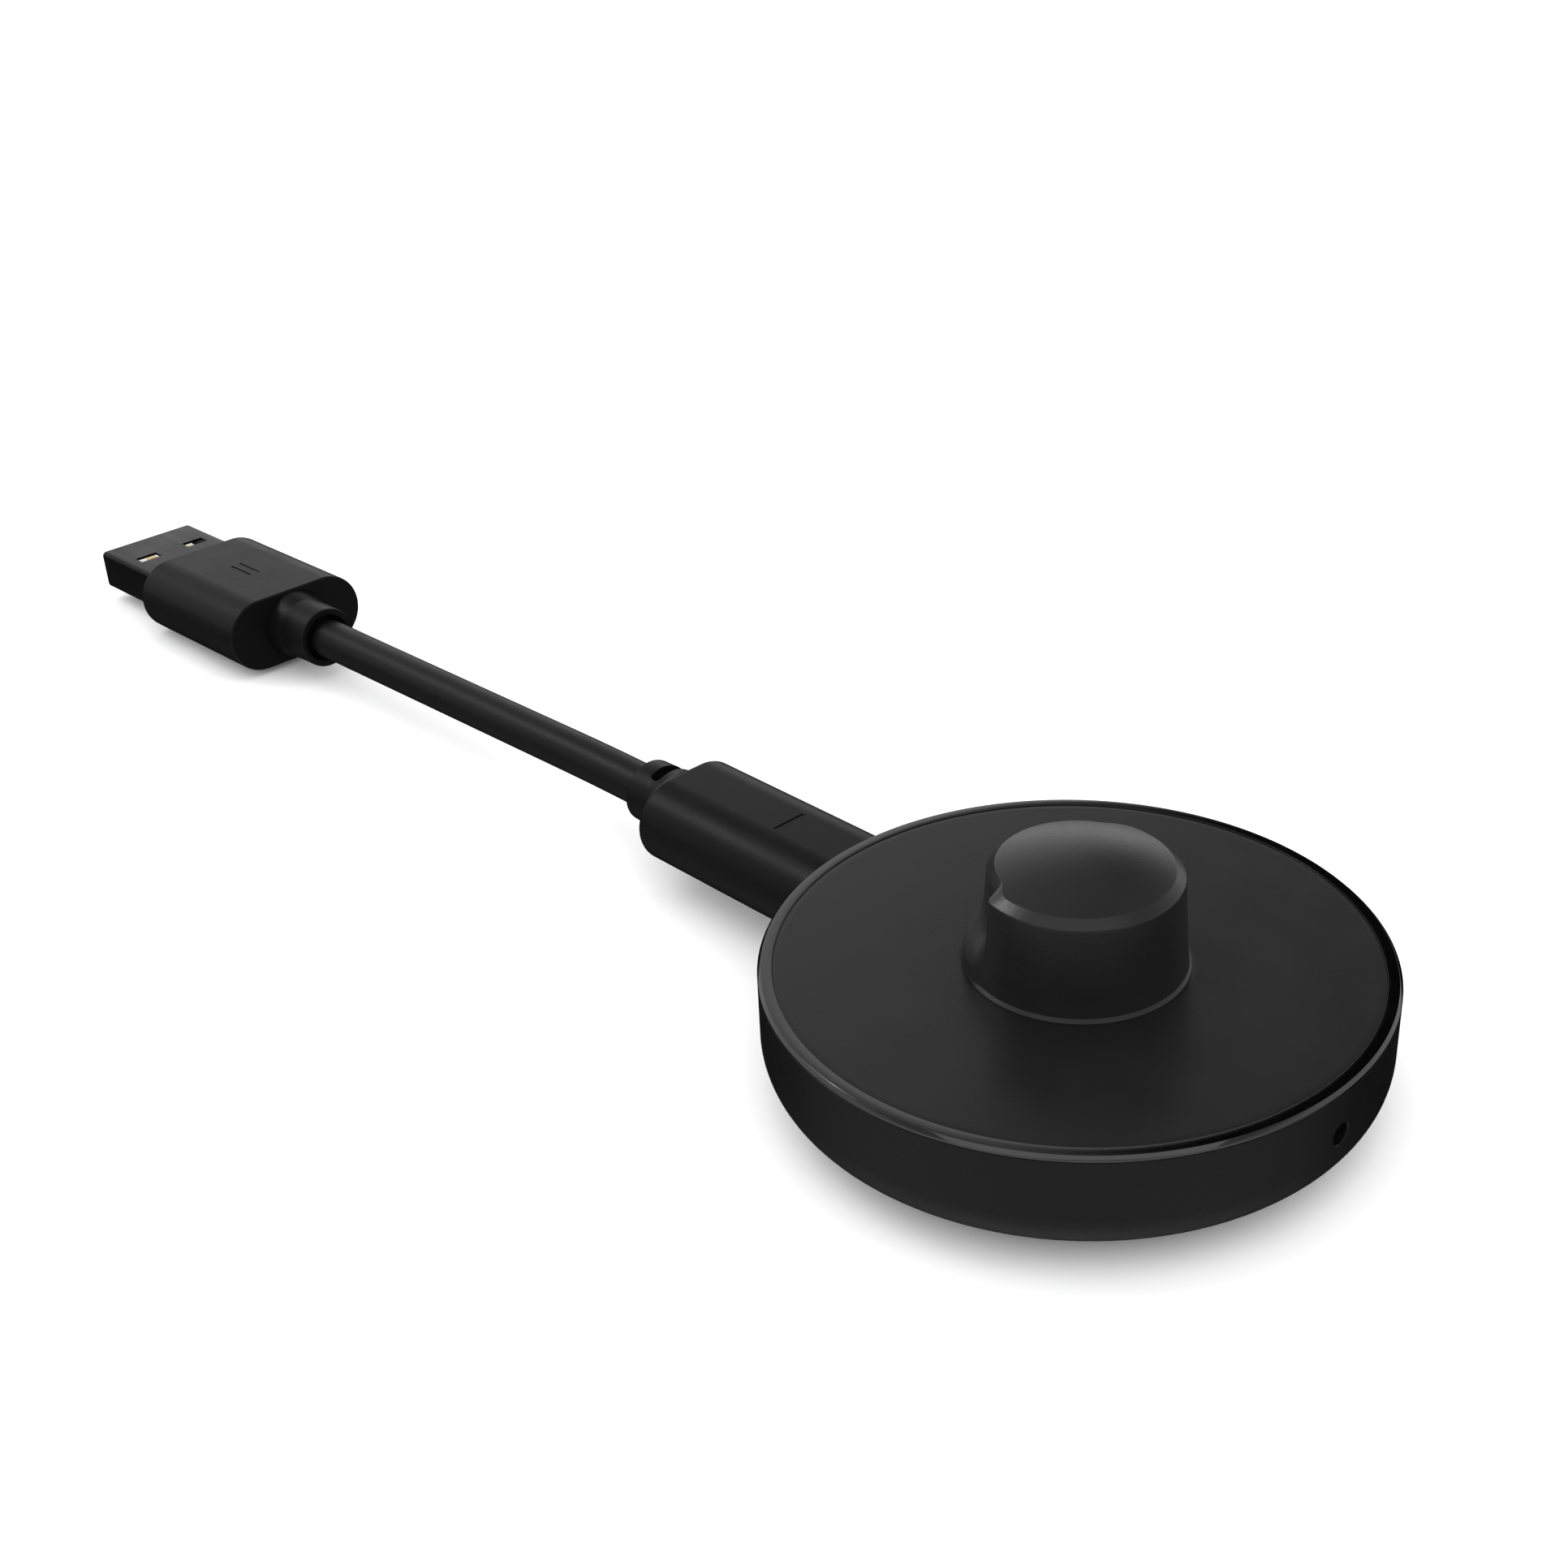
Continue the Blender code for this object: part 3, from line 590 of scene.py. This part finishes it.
def make_post(mats):
    """One column of (radius, height) for each degree, skinned all the way round."""
    base = PLATE_TOP
    crown = POST_HIGH.z - base - POST_EDGE
    segments = 360
    angles = [2 * math.pi * i / segments for i in range(segments)]
    columns = []
    for i in range(segments):
        degrees = 360.0 * i / segments
        points = [(POST_CAVITY_RADIUS, -2.1, 0), (POST_FLANGE_RADIUS, -2.1, 0),
                  (POST_FLANGE_RADIUS, -1.1, 0), (POST_FOOT - 0.1, -1.1, 0), (POST_LIP, -0.2, 0),
                  (POST_LIP, 0.06, 0.04), (post_radius(0.34, degrees), 0.34, 0.15)]
        heights = spread(0.5, 6.0, 26) + spread(6.3, POST_WALL_TOP - 0.3, 6)
        points += [(post_radius(h, degrees), h, 0) for h in heights]
        points += [(post_radius(POST_WALL_TOP, degrees), POST_WALL_TOP, 0.16)]
        edge = top_radius(degrees)
        across = [edge * k / 20 for k in range(20, 0, -1)]
        dome = [(r, POST_EDGE + crown * (1 - (r / POST_TOP_RADIUS) ** 2)) for r in across]
        points += [dome[0] + (0.1,)] + [point + (0,) for point in dome[1:]]
        columns.append(fillet(points, 5, closed=False))
    bm = bmesh.new()
    loops = []
    for row in range(len(columns[0])):
        loops.append([(column[row][0] * math.cos(a), column[row][0] * math.sin(a), base + column[row][1])
                      for a, column in zip(angles, columns)])
    cavity = base + POST_EDGE - 1.3
    inner = [(POST_CAVITY_RADIUS * math.cos(a), POST_CAVITY_RADIUS * math.sin(a), cavity) for a in angles]
    skin(bm, [[(0, 0, cavity)], inner] + loops + [[(0, 0, POST_HIGH.z)]])
    post = to_object("keyed_post", bm, mats["post"], 50.0)
    weigh(post)
    declare(post, "dock", "charging_post")


def make_foot(mats):
    """Anti-slip pad with four moulded channels in its underside."""
    edge, top = FOOT_HIGH.x, FOOT_HIGH.z
    profile = [(0.0, 0.0, 0)]
    for radius in (5.0, 9.0, 13.0, 17.0):
        profile += [(radius - 0.5, 0.0, 0.12), (radius - 0.3, 0.22, 0.1), (radius + 0.3, 0.22, 0.1),
                    (radius + 0.5, 0.0, 0.12)]
    profile += [(edge, 0.0, 0.3), (edge, top, 0.06), (0.0, top, 0)]
    foot = to_object("foot_pad", revolve(fillet(profile, 4), 192), mats["rubber"])
    weigh(foot)
    declare(foot, "dock", "rubber_foot")


def make_coil(mats):
    """Three layers of enamelled wire, wound turn beside turn on the bobbin."""
    low, high = box_mm("charging_coil")
    wire = 0.42
    turns = int((high.z - low.z) / wire)
    bm = bmesh.new()
    for radius in (high.x - wire / 2, high.x - wire * 1.4, high.x - wire * 2.3):
        for k in range(turns):
            z = low.z + wire * (k + 0.5)
            ring = [(radius + wire * 0.49 * math.cos(a), z + wire * 0.49 * math.sin(a))
                    for a in (math.radians(45 * s) for s in range(8))]
            revolve(ring, 64, bm=bm)
    coil = to_object("coil_winding", bm, mats["copper"], 60)
    declare(coil, "dock", "charging_coil")


# ------------------------------------------------------------------------ lead

MARK_DEPTH = 0.08
USB_BOOT_START, USB_BODY_START, USB_BODY_END, USB_TIP = 109.4, 115.8, 135.8, 148.5
USB_BODY = (16.8, 8.3)
USB_SHELL = (12.0, 4.5)
USB_WALL = 0.3
USB_WINDOW_X = 3.1
USB_WINDOW_ENDS = (141.77, 143.23)


def block(low, high):
    """Box cutter between two corners."""
    bm = bmesh.new()
    bmesh.ops.create_cube(bm, size=1.0)
    size = Vector(high) - Vector(low)
    bmesh.ops.scale(bm, vec=size, verts=bm.verts)
    bmesh.ops.translate(bm, vec=(Vector(low) + Vector(high)) / 2, verts=bm.verts)
    return bm


def slot_cutter(first, last, y_low, y_high, inner, outer, steps=40):
    """Part of a ring about the lead's axis, with rounded ends, in degrees from +X towards +Z."""
    bm = bmesh.new()
    middle, half = (y_low + y_high) / 2, (y_high - y_low) / 2
    reach = math.degrees(half / outer)
    loops = []
    for k in range(steps + 1):
        share = k / steps
        degrees = first + (last - first) * 0.5 * (1 - math.cos(math.pi * share))
        edge = min(degrees - first, last - degrees) / reach
        width = half * math.sqrt(max(1 - (1 - min(edge, 1.0)) ** 2, 0.0004))
        angle = math.radians(degrees)
        corners = ((inner, middle - width), (outer, middle - width), (outer, middle + width),
                   (inner, middle + width))
        loops.append([(r * math.cos(angle), y, LEAD_Z + r * math.sin(angle)) for r, y in corners])
    made = skin(bm, loops)
    bm.faces.new(made[0])
    bm.faces.new(made[-1])
    return bm


def make_plug(mats):
    """Dock-side plug: moulded body with one plain bar on top, metal nose, slotted strain relief."""
    height = PLUG_HIGH.z - PLUG_LOW.z
    sections = end_sections(PLUG_LOW.y, PLUG_HIGH.y, 0.25, 0.85)
    cover = to_object("plug_cover", bar(PLUG_HIGH.x * 2, height, height / 2 - 0.01, sections, 24),
                      mats["cover"])
    pocket = bar(8.5, 2.7, 1.3, [(PLUG_LOW.y - 1, 0.0), (PLUG_LOW.y + 3.0, 0.0)], 10)
    top = PLUG_HIGH.z
    carve(cover, [pocket, block((-1.8, 33.8, top - MARK_DEPTH), (1.8, 34.15, top + 1))])
    weigh(cover)
    declare(cover, "lead", "plug_body")

    low, high = box_mm("plug_shell")
    width, height = high.x * 2, high.z - low.z
    sections = end_sections(low.y, high.y, 0.14, 0.05, 4)
    nose = to_object("plug_nose", bar(width, height, 1.15, sections, 14), mats["steel"])
    carve(nose, [bar(width - 0.6, height - 0.6, 0.86, [(low.y - 1, 0.0), (high.y + 1, 0.0)], 14)])
    weigh(nose)
    declare(nose, "lead", "plug_shell")

    start, end = RELIEF_LOW.y - 0.24, RELIEF_HIGH.y
    grip = CABLE_DIAMETER / 2 + 0.07
    profile = [(0.0, start, 0), (3.75, start, 0.05), (3.4, start + 0.9, 0.8), (3.2, start + 2.2, 0.5),
               (3.1, end, 0.35), (grip, end, 0.12), (grip, end - 1.5, 0), (0.0, end - 1.5, 0)]
    boot = to_object("plug_boot", revolve(fillet(profile, 6), 96, (0.0, LEAD_Z), True), mats["cover"])
    carve(boot, [slot_cutter(-30, 122, 50.25, 51.65, 2.3, 4.5)])
    weigh(boot)
    declare(boot, "lead", "plug_strain_relief")
    return [cover, nose, boot]


def tilted(bm):
    """Turn a mesh of the far plug about the middle of the cable's bend."""
    bmesh.ops.rotate(bm, cent=TILT_PIVOT, matrix=Matrix.Rotation(-TILT, 3, "X"), verts=bm.verts)
    return bm


def make_far_plug(mats):
    """USB-A plug, built straight on the lead's axis and then tilted."""
    z = LEAD_Z
    grip = CABLE_DIAMETER / 2 + 0.5
    start, end = USB_BOOT_START, USB_BODY_START
    profile = [(0.0, start + 2.6, 0), (grip - 0.35, start + 2.6, 0), (grip, start, 0.12),
               (3.36, start, 0.16), (3.42, end - 2.2, 1.0), (3.9, end - 0.06, 0.05), (0.0, end - 0.06, 0)]
    boot = to_object("usb_boot", tilted(revolve(fillet(profile, 6), 96, (0.0, z), True)), mats["cover"])
    weigh(boot)
    declare(boot, "lead", "usb_strain_relief")

    start, end = USB_BODY_START, USB_BODY_END
    width, height = USB_BODY
    sections = end_sections(start, end, 0.22, 0.7)
    cover = to_object("usb_cover", tilted(bar(width, height, height / 2 - 0.01, sections, 24)),
                      mats["cover"])
    pocket = bar(USB_SHELL[0] + 0.16, USB_SHELL[1] + 0.16, 0.6, [(end - 3.0, 0.0), (end + 1, 0.0)], 6)
    top = z + height / 2
    bars = [block((x - 0.17, 123.4, top - MARK_DEPTH), (x + 0.17, 127.4, top + 1)) for x in (-0.55, 0.55)]
    carve(cover, [tilted(bm) for bm in [pocket] + bars])
    weigh(cover)
    declare(cover, "lead", "usb_body")

    width, height = USB_SHELL
    root = end - 2.7
    sleeve = to_object("usb_sleeve", tilted(bar(width, height, 0.55, [(root, 0.0), (USB_TIP, 0.0)], 6)),
                       mats["sleeve"])
    through = [(root - 1, 0.0), (USB_TIP + 1, 0.0)]
    cutters = [bar(width - 2 * USB_WALL, height - 2 * USB_WALL, 0.25, through, 4)]
    for x in (-USB_WINDOW_X, USB_WINDOW_X):
        cutters.append(block((x - 1.3, USB_WINDOW_ENDS[0], z - 4), (x + 1.3, USB_WINDOW_ENDS[1], z + 4)))
    seam = block((-0.04, root - 1, z - 3), (0.04, USB_TIP + 1, z - 2.13))
    carve(sleeve, [tilted(bm) for bm in cutters + [seam]])
    soften(sleeve, 0.05)
    declare(sleeve, "lead", "usb_shell")
    return [boot, cover, sleeve]


# ------------------------------------------------------- carried-over CAD nodes

def dress_nodes(mats):
    """Give every CAD node that stays its own finish."""
    finishes = {
        "circuit_board": "board", "charge_controller": "chip", "power_inductor": "ferrite",
        "input_capacitor": "ceramic", "output_capacitor": "ceramic", "indicator_led": "led",
        "light_pipe": "lens", "coil_bobbin": "bobbin", "ferrite_core": "ferrite",
        "socket_shell": "steel", "socket_tongue": "insulator", "plug_insert": "insulator",
        "usb_tongue": "tongue",
    }
    finishes.update({f"board_screw_{i}": "screw" for i in (1, 2, 3)})
    finishes.update({f"usb_contact_{i}": "gold" for i in (1, 2, 3, 4)})
    for node, key in finishes.items():
        for material_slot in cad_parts[node].material_slots:
            material_slot.material = mats[key]


# --------------------------------------------------------------- stage, lights

def direction(azimuth, elevation):
    """Unit vector towards a compass direction: azimuth in degrees from +X towards +Y."""
    a, e = math.radians(azimuth), math.radians(elevation)
    return Vector((math.cos(a) * math.cos(e), math.sin(a) * math.cos(e), math.sin(e)))


def add_card(name, azimuth, elevation, width_angle, height_angle, radiance, gloss_only=True):
    """Soft box a metre away that fills a range of directions as seen from the object."""
    width = 2 * math.tan(math.radians(width_angle) / 2)
    height = 2 * math.tan(math.radians(height_angle) / 2)
    data = bpy.data.lights.new(name, "AREA")
    data.shape = "RECTANGLE"
    data.size = width
    data.size_y = height
    data.energy = 4 * radiance * width * height
    light = bpy.data.objects.new(name, data)
    towards = direction(azimuth, elevation)
    light.location = Vector((0.0, 0.03, 0.01)) + towards
    light.rotation_mode = "QUATERNION"
    light.rotation_quaternion = towards.to_track_quat("Z", "Y")
    light.visible_camera = False
    light.visible_diffuse = not gloss_only
    bpy.context.scene.collection.objects.link(light)


def add_floor():
    """Plain pale ground, which the gloss doesn't see."""
    mat, nodes, links, shader, coords = new_material("floor_paper")
    fine = noise(nodes, links, coords, 60.0, 4.0)
    links.new(tint(nodes, links, fine, (0.94, 0.94, 0.94), (0.96, 0.96, 0.96)), shader.inputs["Base Color"])
    shader.inputs["Roughness"].default_value = 0.9
    shader.inputs["Specular IOR Level"].default_value = 0.0
    bm = bmesh.new()
    bmesh.ops.create_grid(bm, x_segments=1, y_segments=1, size=4000.0)
    floor = to_object("floor", bm, mat)
    floor.visible_glossy = False


def soft_step(nodes, links, value, start, end, before, after):
    """Smooth change from one value to another; either may be a number or a socket."""
    node = nodes.new("ShaderNodeMapRange")
    node.interpolation_type = "SMOOTHSTEP"
    node.inputs["From Min"].default_value = start
    node.inputs["From Max"].default_value = end
    links.new(value, node.inputs["Value"])
    for name, item in (("To Min", before), ("To Max", after)):
        if isinstance(item, float):
            node.inputs[name].default_value = item
        else:
            links.new(item, node.inputs[name])
    return node.outputs["Result"]


def towards_node(nodes, links, coords, azimuth, elevation):
    """Cosine of the angle between the world's direction and a fixed one."""
    node = nodes.new("ShaderNodeVectorMath")
    node.operation = "DOT_PRODUCT"
    node.inputs[1].default_value = direction(azimuth, elevation)
    links.new(coords.outputs["Generated"], node.inputs[0])
    return node.outputs["Value"]


def background(nodes, links, strength):
    node = nodes.new("ShaderNodeBackground")
    node.inputs["Color"].default_value = (1.0, 1.0, 1.0, 1.0)
    if isinstance(strength, float):
        node.inputs["Strength"].default_value = strength
    else:
        links.new(strength, node.inputs["Strength"])
    return node.outputs["Background"]


def choose(nodes, links, factor, no, yes):
    node = nodes.new("ShaderNodeMixShader")
    links.new(factor, node.inputs["Fac"])
    links.new(no, node.inputs[1])
    links.new(yes, node.inputs[2])
    return node.outputs["Shader"]


def add_world(seen, diffuse, gloss_low, gloss_high, gloss_floor, flag):
    """Even studio light. What the gloss sees fades upwards, has a dark flag in one direction,
    and below the horizon is light in front of the object and dark behind it.
    """
    world = bpy.data.worlds.new("studio")
    bpy.context.scene.world = world
    world.use_nodes = True
    nodes, links = world.node_tree.nodes, world.node_tree.links
    nodes.clear()
    paths = nodes.new("ShaderNodeLightPath")
    output = nodes.new("ShaderNodeOutputWorld")
    coords = nodes.new("ShaderNodeTexCoord")
    split = nodes.new("ShaderNodeSeparateXYZ")
    links.new(coords.outputs["Generated"], split.inputs["Vector"])
    height = split.outputs["Z"]

    azimuth, elevation, radius, blur = flag
    fade = soft_step(nodes, links, height, 0.5, 0.68, gloss_low, gloss_high)
    above = soft_step(nodes, links, towards_node(nodes, links, coords, azimuth, elevation),
                      math.cos(math.radians(radius + blur)), math.cos(math.radians(radius - blur)), fade, 0.0)
    below = soft_step(nodes, links, towards_node(nodes, links, coords, 215, -30), -0.1, 0.8, 0.0, gloss_floor)
    glossy = soft_step(nodes, links, height, -0.06, 0.06, below, above)

    inner = choose(nodes, links, paths.outputs["Is Glossy Ray"], background(nodes, links, diffuse),
                   background(nodes, links, glossy))
    outer = choose(nodes, links, paths.outputs["Is Camera Ray"], inner, background(nodes, links, seen))
    links.new(outer, output.inputs["Surface"])


def add_lights():
    add_world(seen=1.0, diffuse=1.6, gloss_low=1.0, gloss_high=0.4, gloss_floor=0.9,
              flag=(23.5, 34.5, 13.5, 3))
    add_card("key", 112, 50, 24, 24, 1.2, gloss_only=False)
    add_card("streak_card", 119, 41, 18, 14, 9.0)
    add_card("front_card", 225, 62, 70, 34, 0.8)
    add_card("horizon_card", 34, 11, 84, 15, 0.6)


def main():
    add_camera()
    mats = make_materials()
    cord, length = add_cord(mats["cable"])
    make_housing(mats)
    make_bezel(mats)
    make_deck(mats)
    make_post(mats)
    make_foot(mats)
    make_coil(mats)
    pieces = make_plug(mats) + make_far_plug(mats)
    dress_nodes(mats)
    add_floor()
    add_lights()
    bpy.context.scene.view_settings.view_transform = "Standard"


main()
